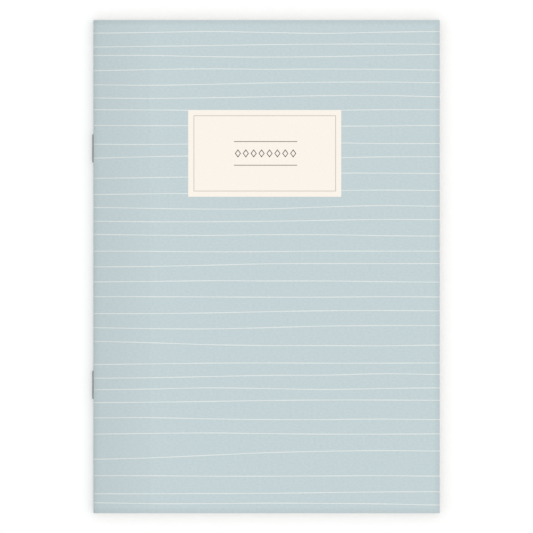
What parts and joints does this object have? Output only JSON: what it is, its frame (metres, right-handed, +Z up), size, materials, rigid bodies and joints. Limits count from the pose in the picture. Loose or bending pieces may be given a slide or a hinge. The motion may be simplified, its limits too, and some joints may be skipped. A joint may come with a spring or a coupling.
{
  "type": "notebook",
  "caption": "Closed A5 staple-bound notebook with a striped card cover, a pasted label and folded paper leaves that open at the centre fold.",
  "frame": {"origin": "centre of the notebook's footprint, staple crowns included, on the surface that its back cover rests on", "axes": "+Z up out of the front cover, +Y to the head of the page, -X to the spine"},
  "size_m": [0.148, 0.21, 0.0052],
  "materials": {
    "cover_card": "matte",
    "label_paper": "matte",
    "page_paper": "matte",
    "staple_wire": "satin"
  },
  "bodies": {
    "back_cover": {"cover_back_panel": "cover_card"},
    "spine": {"cover_spine": "cover_card", "sheet_01_fold": "page_paper", "sheet_02_fold": "page_paper", "sheet_03_fold": "page_paper", "sheet_04_fold": "page_paper", "sheet_05_fold": "page_paper", "sheet_06_fold": "page_paper", "sheet_07_fold": "page_paper", "sheet_08_fold": "page_paper", "sheet_09_fold": "page_paper", "sheet_10_fold": "page_paper", "sheet_11_fold": "page_paper", "sheet_12_fold": "page_paper", "sheet_13_fold": "page_paper", "sheet_14_fold": "page_paper", "sheet_15_fold": "page_paper", "sheet_16_fold": "page_paper", "upper_staple": "staple_wire", "lower_staple": "staple_wire"},
    "front_cover": {"cover_front_panel": "cover_card", "label": "label_paper"},
    "sheet_01_front": {"sheet_01_front_leaf": "page_paper"},
    "sheet_01_back": {"sheet_01_back_leaf": "page_paper"},
    "sheet_02_front": {"sheet_02_front_leaf": "page_paper"},
    "sheet_02_back": {"sheet_02_back_leaf": "page_paper"},
    "sheet_03_front": {"sheet_03_front_leaf": "page_paper"},
    "sheet_03_back": {"sheet_03_back_leaf": "page_paper"},
    "sheet_04_front": {"sheet_04_front_leaf": "page_paper"},
    "sheet_04_back": {"sheet_04_back_leaf": "page_paper"},
    "sheet_05_front": {"sheet_05_front_leaf": "page_paper"},
    "sheet_05_back": {"sheet_05_back_leaf": "page_paper"},
    "sheet_06_front": {"sheet_06_front_leaf": "page_paper"},
    "sheet_06_back": {"sheet_06_back_leaf": "page_paper"},
    "sheet_07_front": {"sheet_07_front_leaf": "page_paper"},
    "sheet_07_back": {"sheet_07_back_leaf": "page_paper"},
    "sheet_08_front": {"sheet_08_front_leaf": "page_paper"},
    "sheet_08_back": {"sheet_08_back_leaf": "page_paper"},
    "sheet_09_front": {"sheet_09_front_leaf": "page_paper"},
    "sheet_09_back": {"sheet_09_back_leaf": "page_paper"},
    "sheet_10_front": {"sheet_10_front_leaf": "page_paper"},
    "sheet_10_back": {"sheet_10_back_leaf": "page_paper"},
    "sheet_11_front": {"sheet_11_front_leaf": "page_paper"},
    "sheet_11_back": {"sheet_11_back_leaf": "page_paper"},
    "sheet_12_front": {"sheet_12_front_leaf": "page_paper"},
    "sheet_12_back": {"sheet_12_back_leaf": "page_paper"},
    "sheet_13_front": {"sheet_13_front_leaf": "page_paper"},
    "sheet_13_back": {"sheet_13_back_leaf": "page_paper"},
    "sheet_14_front": {"sheet_14_front_leaf": "page_paper"},
    "sheet_14_back": {"sheet_14_back_leaf": "page_paper"},
    "sheet_15_front": {"sheet_15_front_leaf": "page_paper"},
    "sheet_15_back": {"sheet_15_back_leaf": "page_paper"},
    "sheet_16_front": {"sheet_16_front_leaf": "page_paper"},
    "sheet_16_back": {"sheet_16_back_leaf": "page_paper"}
  },
  "joints": [
    {"name": "spine_hinge", "type": "hinge", "parent": "back_cover", "child": "spine", "pos_m": [-0.07093, 0, 0.00256], "axis": [0, -1, 0], "range_deg": [0, 90]},
    {"name": "front_cover_hinge", "type": "hinge", "parent": "spine", "child": "front_cover", "pos_m": [-0.07093, 0, 0.00256], "axis": [0, -1, 0], "range_deg": [0, 90]},
    {"name": "sheet_01_front_hinge", "type": "hinge", "parent": "spine", "child": "sheet_01_front", "pos_m": [-0.07093, 0, 0.00256], "axis": [0, -1, 0], "range_deg": [0, 82]},
    {"name": "sheet_01_back_hinge", "type": "hinge", "parent": "spine", "child": "sheet_01_back", "pos_m": [-0.07093, 0, 0.00256], "axis": [0, -1, 0], "range_deg": [-82, 0]},
    {"name": "sheet_02_front_hinge", "type": "hinge", "parent": "spine", "child": "sheet_02_front", "pos_m": [-0.07093, 0, 0.00256], "axis": [0, -1, 0], "range_deg": [0, 82.5]},
    {"name": "sheet_02_back_hinge", "type": "hinge", "parent": "spine", "child": "sheet_02_back", "pos_m": [-0.07093, 0, 0.00256], "axis": [0, -1, 0], "range_deg": [-82.5, 0]},
    {"name": "sheet_03_front_hinge", "type": "hinge", "parent": "spine", "child": "sheet_03_front", "pos_m": [-0.07093, 0, 0.00256], "axis": [0, -1, 0], "range_deg": [0, 83]},
    {"name": "sheet_03_back_hinge", "type": "hinge", "parent": "spine", "child": "sheet_03_back", "pos_m": [-0.07093, 0, 0.00256], "axis": [0, -1, 0], "range_deg": [-83, 0]},
    {"name": "sheet_04_front_hinge", "type": "hinge", "parent": "spine", "child": "sheet_04_front", "pos_m": [-0.07093, 0, 0.00256], "axis": [0, -1, 0], "range_deg": [0, 83.5]},
    {"name": "sheet_04_back_hinge", "type": "hinge", "parent": "spine", "child": "sheet_04_back", "pos_m": [-0.07093, 0, 0.00256], "axis": [0, -1, 0], "range_deg": [-83.5, 0]},
    {"name": "sheet_05_front_hinge", "type": "hinge", "parent": "spine", "child": "sheet_05_front", "pos_m": [-0.07093, 0, 0.00256], "axis": [0, -1, 0], "range_deg": [0, 84]},
    {"name": "sheet_05_back_hinge", "type": "hinge", "parent": "spine", "child": "sheet_05_back", "pos_m": [-0.07093, 0, 0.00256], "axis": [0, -1, 0], "range_deg": [-84, 0]},
    {"name": "sheet_06_front_hinge", "type": "hinge", "parent": "spine", "child": "sheet_06_front", "pos_m": [-0.07093, 0, 0.00256], "axis": [0, -1, 0], "range_deg": [0, 84.5]},
    {"name": "sheet_06_back_hinge", "type": "hinge", "parent": "spine", "child": "sheet_06_back", "pos_m": [-0.07093, 0, 0.00256], "axis": [0, -1, 0], "range_deg": [-84.5, 0]},
    {"name": "sheet_07_front_hinge", "type": "hinge", "parent": "spine", "child": "sheet_07_front", "pos_m": [-0.07093, 0, 0.00256], "axis": [0, -1, 0], "range_deg": [0, 85]},
    {"name": "sheet_07_back_hinge", "type": "hinge", "parent": "spine", "child": "sheet_07_back", "pos_m": [-0.07093, 0, 0.00256], "axis": [0, -1, 0], "range_deg": [-85, 0]},
    {"name": "sheet_08_front_hinge", "type": "hinge", "parent": "spine", "child": "sheet_08_front", "pos_m": [-0.07093, 0, 0.00256], "axis": [0, -1, 0], "range_deg": [0, 85.5]},
    {"name": "sheet_08_back_hinge", "type": "hinge", "parent": "spine", "child": "sheet_08_back", "pos_m": [-0.07093, 0, 0.00256], "axis": [0, -1, 0], "range_deg": [-85.5, 0]},
    {"name": "sheet_09_front_hinge", "type": "hinge", "parent": "spine", "child": "sheet_09_front", "pos_m": [-0.07093, 0, 0.00256], "axis": [0, -1, 0], "range_deg": [0, 86]},
    {"name": "sheet_09_back_hinge", "type": "hinge", "parent": "spine", "child": "sheet_09_back", "pos_m": [-0.07093, 0, 0.00256], "axis": [0, -1, 0], "range_deg": [-86, 0]},
    {"name": "sheet_10_front_hinge", "type": "hinge", "parent": "spine", "child": "sheet_10_front", "pos_m": [-0.07093, 0, 0.00256], "axis": [0, -1, 0], "range_deg": [0, 86.5]},
    {"name": "sheet_10_back_hinge", "type": "hinge", "parent": "spine", "child": "sheet_10_back", "pos_m": [-0.07093, 0, 0.00256], "axis": [0, -1, 0], "range_deg": [-86.5, 0]},
    {"name": "sheet_11_front_hinge", "type": "hinge", "parent": "spine", "child": "sheet_11_front", "pos_m": [-0.07093, 0, 0.00256], "axis": [0, -1, 0], "range_deg": [0, 87]},
    {"name": "sheet_11_back_hinge", "type": "hinge", "parent": "spine", "child": "sheet_11_back", "pos_m": [-0.07093, 0, 0.00256], "axis": [0, -1, 0], "range_deg": [-87, 0]},
    {"name": "sheet_12_front_hinge", "type": "hinge", "parent": "spine", "child": "sheet_12_front", "pos_m": [-0.07093, 0, 0.00256], "axis": [0, -1, 0], "range_deg": [0, 87.5]},
    {"name": "sheet_12_back_hinge", "type": "hinge", "parent": "spine", "child": "sheet_12_back", "pos_m": [-0.07093, 0, 0.00256], "axis": [0, -1, 0], "range_deg": [-87.5, 0]},
    {"name": "sheet_13_front_hinge", "type": "hinge", "parent": "spine", "child": "sheet_13_front", "pos_m": [-0.07093, 0, 0.00256], "axis": [0, -1, 0], "range_deg": [0, 88]},
    {"name": "sheet_13_back_hinge", "type": "hinge", "parent": "spine", "child": "sheet_13_back", "pos_m": [-0.07093, 0, 0.00256], "axis": [0, -1, 0], "range_deg": [-88, 0]},
    {"name": "sheet_14_front_hinge", "type": "hinge", "parent": "spine", "child": "sheet_14_front", "pos_m": [-0.07093, 0, 0.00256], "axis": [0, -1, 0], "range_deg": [0, 88.5]},
    {"name": "sheet_14_back_hinge", "type": "hinge", "parent": "spine", "child": "sheet_14_back", "pos_m": [-0.07093, 0, 0.00256], "axis": [0, -1, 0], "range_deg": [-88.5, 0]},
    {"name": "sheet_15_front_hinge", "type": "hinge", "parent": "spine", "child": "sheet_15_front", "pos_m": [-0.07093, 0, 0.00256], "axis": [0, -1, 0], "range_deg": [0, 89]},
    {"name": "sheet_15_back_hinge", "type": "hinge", "parent": "spine", "child": "sheet_15_back", "pos_m": [-0.07093, 0, 0.00256], "axis": [0, -1, 0], "range_deg": [-89, 0]},
    {"name": "sheet_16_front_hinge", "type": "hinge", "parent": "spine", "child": "sheet_16_front", "pos_m": [-0.07093, 0, 0.00256], "axis": [0, -1, 0], "range_deg": [0, 89.5]},
    {"name": "sheet_16_back_hinge", "type": "hinge", "parent": "spine", "child": "sheet_16_back", "pos_m": [-0.07093, 0, 0.00256], "axis": [0, -1, 0], "range_deg": [-89.5, 0]}
  ],
  "couplings": [
    {"joint": "front_cover_hinge", "follows": "spine_hinge", "ratio": 1},
    {"joint": "sheet_01_front_hinge", "follows": "spine_hinge", "ratio": 0.91111},
    {"joint": "sheet_01_back_hinge", "follows": "spine_hinge", "ratio": -0.91111},
    {"joint": "sheet_02_front_hinge", "follows": "spine_hinge", "ratio": 0.91667},
    {"joint": "sheet_02_back_hinge", "follows": "spine_hinge", "ratio": -0.91667},
    {"joint": "sheet_03_front_hinge", "follows": "spine_hinge", "ratio": 0.92222},
    {"joint": "sheet_03_back_hinge", "follows": "spine_hinge", "ratio": -0.92222},
    {"joint": "sheet_04_front_hinge", "follows": "spine_hinge", "ratio": 0.92778},
    {"joint": "sheet_04_back_hinge", "follows": "spine_hinge", "ratio": -0.92778},
    {"joint": "sheet_05_front_hinge", "follows": "spine_hinge", "ratio": 0.93333},
    {"joint": "sheet_05_back_hinge", "follows": "spine_hinge", "ratio": -0.93333},
    {"joint": "sheet_06_front_hinge", "follows": "spine_hinge", "ratio": 0.93889},
    {"joint": "sheet_06_back_hinge", "follows": "spine_hinge", "ratio": -0.93889},
    {"joint": "sheet_07_front_hinge", "follows": "spine_hinge", "ratio": 0.94444},
    {"joint": "sheet_07_back_hinge", "follows": "spine_hinge", "ratio": -0.94444},
    {"joint": "sheet_08_front_hinge", "follows": "spine_hinge", "ratio": 0.95},
    {"joint": "sheet_08_back_hinge", "follows": "spine_hinge", "ratio": -0.95},
    {"joint": "sheet_09_front_hinge", "follows": "spine_hinge", "ratio": 0.95556},
    {"joint": "sheet_09_back_hinge", "follows": "spine_hinge", "ratio": -0.95556},
    {"joint": "sheet_10_front_hinge", "follows": "spine_hinge", "ratio": 0.96111},
    {"joint": "sheet_10_back_hinge", "follows": "spine_hinge", "ratio": -0.96111},
    {"joint": "sheet_11_front_hinge", "follows": "spine_hinge", "ratio": 0.96667},
    {"joint": "sheet_11_back_hinge", "follows": "spine_hinge", "ratio": -0.96667},
    {"joint": "sheet_12_front_hinge", "follows": "spine_hinge", "ratio": 0.97222},
    {"joint": "sheet_12_back_hinge", "follows": "spine_hinge", "ratio": -0.97222},
    {"joint": "sheet_13_front_hinge", "follows": "spine_hinge", "ratio": 0.97778},
    {"joint": "sheet_13_back_hinge", "follows": "spine_hinge", "ratio": -0.97778},
    {"joint": "sheet_14_front_hinge", "follows": "spine_hinge", "ratio": 0.98333},
    {"joint": "sheet_14_back_hinge", "follows": "spine_hinge", "ratio": -0.98333},
    {"joint": "sheet_15_front_hinge", "follows": "spine_hinge", "ratio": 0.98889},
    {"joint": "sheet_15_back_hinge", "follows": "spine_hinge", "ratio": -0.98889},
    {"joint": "sheet_16_front_hinge", "follows": "spine_hinge", "ratio": 0.99444},
    {"joint": "sheet_16_back_hinge", "follows": "spine_hinge", "ratio": -0.99444}
  ]
}
